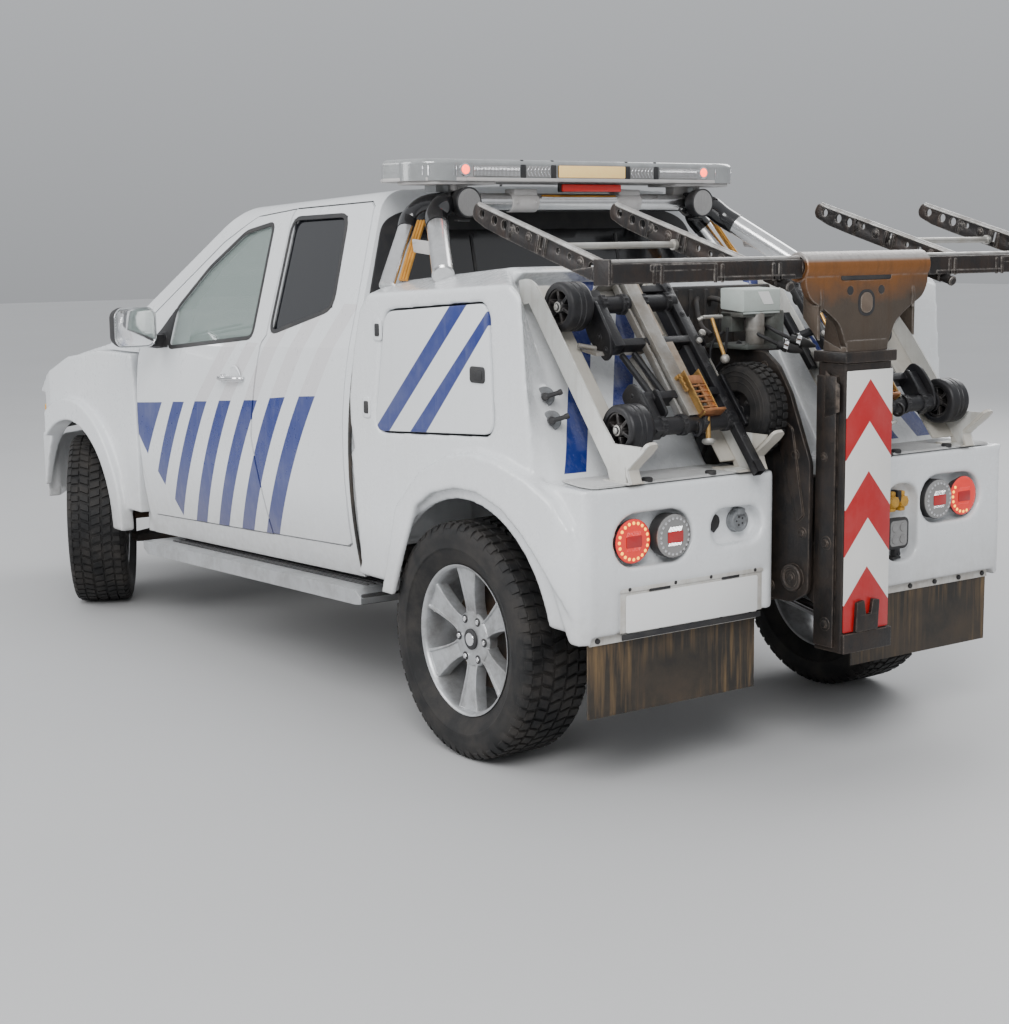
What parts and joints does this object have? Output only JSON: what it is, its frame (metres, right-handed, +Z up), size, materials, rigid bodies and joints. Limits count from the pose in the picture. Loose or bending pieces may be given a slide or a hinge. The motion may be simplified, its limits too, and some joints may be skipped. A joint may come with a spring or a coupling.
{
  "type": "tow truck",
  "caption": "Light tow truck: extended-cab pickup chassis, moulded recovery body with wheel dollies on sloping rails, and a folding wheel-lift boom with cross bar and arms.",
  "frame": {"origin": "on the ground, under the middle of the bounding box", "axes": "+X forwards, +Y to the vehicle's left, +Z up"},
  "size_m": [4.879, 2.2, 1.9039],
  "materials": {
    "paint_white": "gloss",
    "body_white": "gloss gelcoat",
    "glass_front": "clear, slightly green",
    "glass_dark": "dark tint",
    "black_plastic": "grained",
    "grey_plastic": "satin",
    "lamp_clear": "gloss",
    "lamp_red": "gloss",
    "lamp_bar": "gloss",
    "frame_black": "satin",
    "cast_dark": "rough",
    "steel_grey": "dull",
    "alloy": "satin",
    "alloy_plate": "ribbed",
    "polished": "polished",
    "rail_white": "worn gloss",
    "dolly_black": "worn",
    "dolly_tyre": "matte",
    "tyre": "matte",
    "boom_steel": "worn paint, grimy",
    "worn_steel": "worn, rusty",
    "mount_black": "worn",
    "rubber_flap": "dirty",
    "seat_cloth": "woven",
    "dash_grey": "grained",
    "rod_chrome": "ground"
  },
  "bodies": {
    "chassis": {"cab_shell": "paint_white", "cab_glass": "glass_front", "front_wings": "paint_white", "front_bumper": "paint_white", "grille": "black_plastic", "headlamps": "lamp_clear", "chassis_frame": "frame_black", "engine_block": "cast_dark", "rear_axle": "cast_dark", "propshaft": "cast_dark", "front_suspension": "cast_dark", "fuel_tank": "black_plastic", "exhaust": "steel_grey", "dashboard": "dash_grey", "seats": "seat_cloth", "rear_body": "body_white", "channel_floor": "body_white", "rear_bumpers": "body_white", "rear_lamps": "lamp_red", "deck_plates": "alloy_plate", "mudflaps": "rubber_flap", "running_boards": "alloy", "sports_bar": "polished", "light_bar": "lamp_bar", "dolly_rails": "rail_white", "dolly_frames": "dolly_black", "spare_dolly_tyre": "dolly_tyre", "pump_box": "grey_plastic", "boom_mount": "mount_black", "tilt_barrel": "mount_black"},
    "bonnet": {"bonnet": "paint_white"},
    "door_front_left": {"front_door_left": "paint_white", "front_door_glass_left": "glass_front"},
    "door_front_right": {"front_door_right": "paint_white", "front_door_glass_right": "glass_front"},
    "door_rear_left": {"rear_door_left": "paint_white", "rear_door_glass_left": "glass_dark"},
    "door_rear_right": {"rear_door_right": "paint_white", "rear_door_glass_right": "glass_dark"},
    "locker_left": {"locker_door_left": "body_white"},
    "locker_right": {"locker_door_right": "body_white"},
    "boom": {"boom_outer": "boom_steel"},
    "boom_arm": {"boom_inner": "boom_steel"},
    "cradle": {"wheel_cradle": "worn_steel"},
    "cylinder_rod": {"tilt_rod": "rod_chrome"},
    "knuckle_left": {"knuckle_left": "cast_dark"},
    "knuckle_right": {"knuckle_right": "cast_dark"},
    "wheel_front_left": {"tyre_front_left": "tyre", "rim_front_left": "alloy"},
    "wheel_front_right": {"tyre_front_right": "tyre", "rim_front_right": "alloy"},
    "wheel_rear_left": {"tyre_rear_left": "tyre", "rim_rear_left": "alloy"},
    "wheel_rear_right": {"tyre_rear_right": "tyre", "rim_rear_right": "alloy"},
    "dolly_upper_left": {"dolly_wheel_upper_left": "dolly_tyre"},
    "dolly_lower_left": {"dolly_wheel_lower_left": "dolly_tyre"},
    "dolly_upper_right": {"dolly_wheel_upper_right": "dolly_tyre"},
    "dolly_lower_right": {"dolly_wheel_lower_right": "dolly_tyre"}
  },
  "joints": [
    {"name": "rear_wheel_left", "type": "hinge", "parent": "chassis", "child": "wheel_rear_left", "pos_m": [-1.5455, 0.785, 0.3815], "axis": [0, 1, 0], "continuous": true},
    {"name": "rear_wheel_right", "type": "hinge", "parent": "chassis", "child": "wheel_rear_right", "pos_m": [-1.5455, -0.785, 0.3815], "axis": [0, 1, 0], "continuous": true},
    {"name": "steer_left", "type": "hinge", "parent": "chassis", "child": "knuckle_left", "pos_m": [1.5495, 0.713, 0.3815], "axis": [0, 0, 1], "range_deg": [-7.3, 62.7]},
    {"name": "steer_right", "type": "hinge", "parent": "chassis", "child": "knuckle_right", "pos_m": [1.5495, -0.713, 0.3815], "axis": [0, 0, 1], "range_deg": [-7.3, 62.7]},
    {"name": "front_wheel_left", "type": "hinge", "parent": "knuckle_left", "child": "wheel_front_left", "pos_m": [1.58297, 0.77675, 0.3815], "axis": [0.4648, 0.8854, 0], "continuous": true},
    {"name": "front_wheel_right", "type": "hinge", "parent": "knuckle_right", "child": "wheel_front_right", "pos_m": [1.51603, -0.77675, 0.3815], "axis": [0.4648, 0.8854, 0], "continuous": true},
    {"name": "front_door_left", "type": "hinge", "parent": "chassis", "child": "door_front_left", "pos_m": [0.8945, 0.905, 0.9], "axis": [0, 0, -1], "range_deg": [0, 65]},
    {"name": "rear_door_left", "type": "hinge", "parent": "chassis", "child": "door_rear_left", "pos_m": [-0.8655, 0.905, 0.9], "axis": [0, 0, 1], "range_deg": [0, 80]},
    {"name": "front_door_right", "type": "hinge", "parent": "chassis", "child": "door_front_right", "pos_m": [0.8945, -0.905, 0.9], "axis": [0, 0, 1], "range_deg": [0, 65]},
    {"name": "rear_door_right", "type": "hinge", "parent": "chassis", "child": "door_rear_right", "pos_m": [-0.8655, -0.905, 0.9], "axis": [0, 0, -1], "range_deg": [0, 80]},
    {"name": "bonnet_lift", "type": "hinge", "parent": "chassis", "child": "bonnet", "pos_m": [1.2765, 0, 1.185], "axis": [0, -1, 0], "range_deg": [0, 50]},
    {"name": "locker_door_left", "type": "hinge", "parent": "chassis", "child": "locker_left", "pos_m": [-1.067, 0.903, 1.21], "axis": [0.2974, 0, -0.9547], "range_deg": [0, 85]},
    {"name": "locker_door_right", "type": "hinge", "parent": "chassis", "child": "locker_right", "pos_m": [-1.067, -0.903, 1.21], "axis": [-0.2974, 0, 0.9547], "range_deg": [0, 85]},
    {"name": "boom_tilt", "type": "hinge", "parent": "chassis", "child": "boom", "pos_m": [-2.2455, 0, 0.6], "axis": [0, -1, 0], "range_deg": [0, 95]},
    {"name": "boom_extend", "type": "slide", "parent": "boom", "child": "boom_arm", "axis": [0, 0, 1], "range_m": [0, 0.45]},
    {"name": "cradle_fold", "type": "hinge", "parent": "boom_arm", "child": "cradle", "pos_m": [-2.3755, 0, 1.548], "axis": [0, -1, 0], "range_deg": [0, 110]},
    {"name": "tilt_cylinder", "type": "slide", "parent": "chassis", "child": "cylinder_rod", "axis": [-0.9826, 0, -0.1856], "range_m": [-0.27, 0]},
    {"name": "dolly_upper_left_spin", "type": "hinge", "parent": "chassis", "child": "dolly_upper_left", "pos_m": [-1.8399, 0.684, 1.43466], "axis": [0, 1, 0], "continuous": true},
    {"name": "dolly_upper_right_spin", "type": "hinge", "parent": "chassis", "child": "dolly_upper_right", "pos_m": [-1.8399, -0.684, 1.43466], "axis": [0, 1, 0], "continuous": true},
    {"name": "dolly_lower_left_spin", "type": "hinge", "parent": "chassis", "child": "dolly_lower_left", "pos_m": [-2.12123, 0.684, 1.08601], "axis": [0, 1, 0], "continuous": true},
    {"name": "dolly_lower_right_spin", "type": "hinge", "parent": "chassis", "child": "dolly_lower_right", "pos_m": [-2.12123, -0.684, 1.08601], "axis": [0, 1, 0], "continuous": true}
  ],
  "couplings": [
    {"joint": "steer_right", "follows": "steer_left", "ratio": 1},
    {"joint": "tilt_cylinder", "follows": "boom_tilt", "m_per_rad": -0.16}
  ]
}
